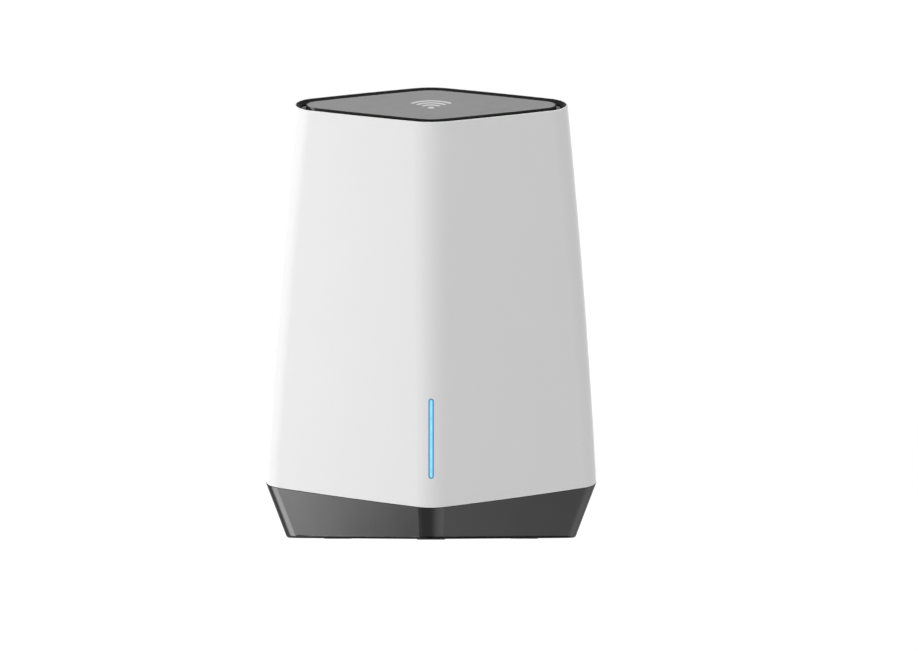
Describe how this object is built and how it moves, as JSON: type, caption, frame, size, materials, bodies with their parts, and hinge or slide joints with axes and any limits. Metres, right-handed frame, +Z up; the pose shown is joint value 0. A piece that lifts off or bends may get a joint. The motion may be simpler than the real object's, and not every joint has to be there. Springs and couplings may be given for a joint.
{
  "type": "mesh wifi node",
  "caption": "Upright mesh wifi node: tapered white rounded-diamond tower on a dark tub, slanted black-rimmed cap, lit front strip, rear bay with network sockets and buttons.",
  "frame": {"origin": "on the surface it stands on, under the middle of the diamond plan", "axes": "+Z up; -Y towards the front ridge with the light strip; +Y towards the socket bay; +X to the viewer's right from the front"},
  "size_m": [0.185, 0.0832, 0.2547],
  "materials": {
    "shell_white": "satin",
    "tub_grey": "satin",
    "cap_black": "gloss",
    "plate_grey": "satin",
    "bay_black": "fine texture",
    "foot_rubber": "matte",
    "light_pipe": "clear, lit from inside",
    "shroud_black": "matte",
    "button_black": "satin",
    "link_light": "clear",
    "socket_steel": "plated",
    "socket_black": "satin",
    "contact_gold": "gold plated",
    "switch_black": "satin",
    "plunger_white": "satin",
    "board_green": "satin solder mask",
    "board_dark": "satin solder mask",
    "chip_black": "matte",
    "can_steel": "tinned",
    "pad_grey": "soft matte",
    "sink_aluminium": "extruded",
    "frame_black": "fine texture",
    "lead_black": "satin",
    "ribbon_white": "satin",
    "screw_steel": "zinc plated",
    "lamp_yellow": "clear lens"
  },
  "bodies": {
    "root": {"aerial_leads": "lead_black", "aerial_left_high": "board_dark", "aerial_left_low": "board_dark", "aerial_left_top": "board_dark", "aerial_right_high": "board_dark", "aerial_right_low": "board_dark", "aerial_right_top": "board_dark", "base_screws": "screw_steel", "board_screws": "screw_steel", "cap_bezel": "cap_black", "cap_screws": "screw_steel", "foot_front": "foot_rubber", "foot_left": "foot_rubber", "foot_rear": "foot_rubber", "foot_right": "foot_rubber", "front_heat_sink": "sink_aluminium", "front_shell": "shell_white", "heat_sink_screws": "screw_steel", "inner_frame": "frame_black", "led_board": "board_dark", "led_cable": "ribbon_white", "light_pipe": "light_pipe", "light_screws": "screw_steel", "light_shroud": "shroud_black", "main_board": "board_green", "memory_chips": "chip_black", "port_bay": "bay_black", "power_socket_body": "switch_black", "power_socket_pin": "contact_gold", "power_switch_body": "switch_black", "processor_chip": "chip_black", "processor_shield": "can_steel", "radio_shields": "can_steel", "rear_heat_sink": "sink_aluminium", "rear_shell": "shell_white", "reset_switch_body": "switch_black", "socket_1_contacts": "contact_gold", "socket_1_insert": "socket_black", "socket_1_shield": "socket_steel", "socket_2_contacts": "contact_gold", "socket_2_insert": "socket_black", "socket_2_shield": "socket_steel", "socket_3_contacts": "contact_gold", "socket_3_insert": "socket_black", "socket_3_shield": "socket_steel", "socket_4_contacts": "contact_gold", "socket_4_insert": "socket_black", "socket_4_shield": "socket_steel", "socket_lights": "link_light", "status_leds": "lamp_yellow", "sync_switch_body": "switch_black", "thermal_pads": "pad_grey", "top_plate": "plate_grey", "tub": "tub_grey"},
    "sync_button": {"sync_button": "button_black", "sync_switch_plunger": "plunger_white"},
    "power_button": {"power_button": "button_black", "power_switch_plunger": "plunger_white"},
    "reset_plunger": {"reset_switch_plunger": "plunger_white"}
  },
  "joints": [
    {"name": "sync_press", "type": "slide", "parent": "root", "child": "sync_button", "axis": [0, -1, 0], "range_m": [0, 0.0005], "stiffness_N_per_m": 500, "springref_m": -0.002},
    {"name": "power_press", "type": "slide", "parent": "root", "child": "power_button", "axis": [0, -1, 0], "range_m": [0, 0.002], "stiffness_N_per_m": 500, "springref_m": -0.002},
    {"name": "reset_press", "type": "slide", "parent": "root", "child": "reset_plunger", "axis": [0, -1, 0], "range_m": [0, 0.00025], "stiffness_N_per_m": 500, "springref_m": -0.002}
  ]
}
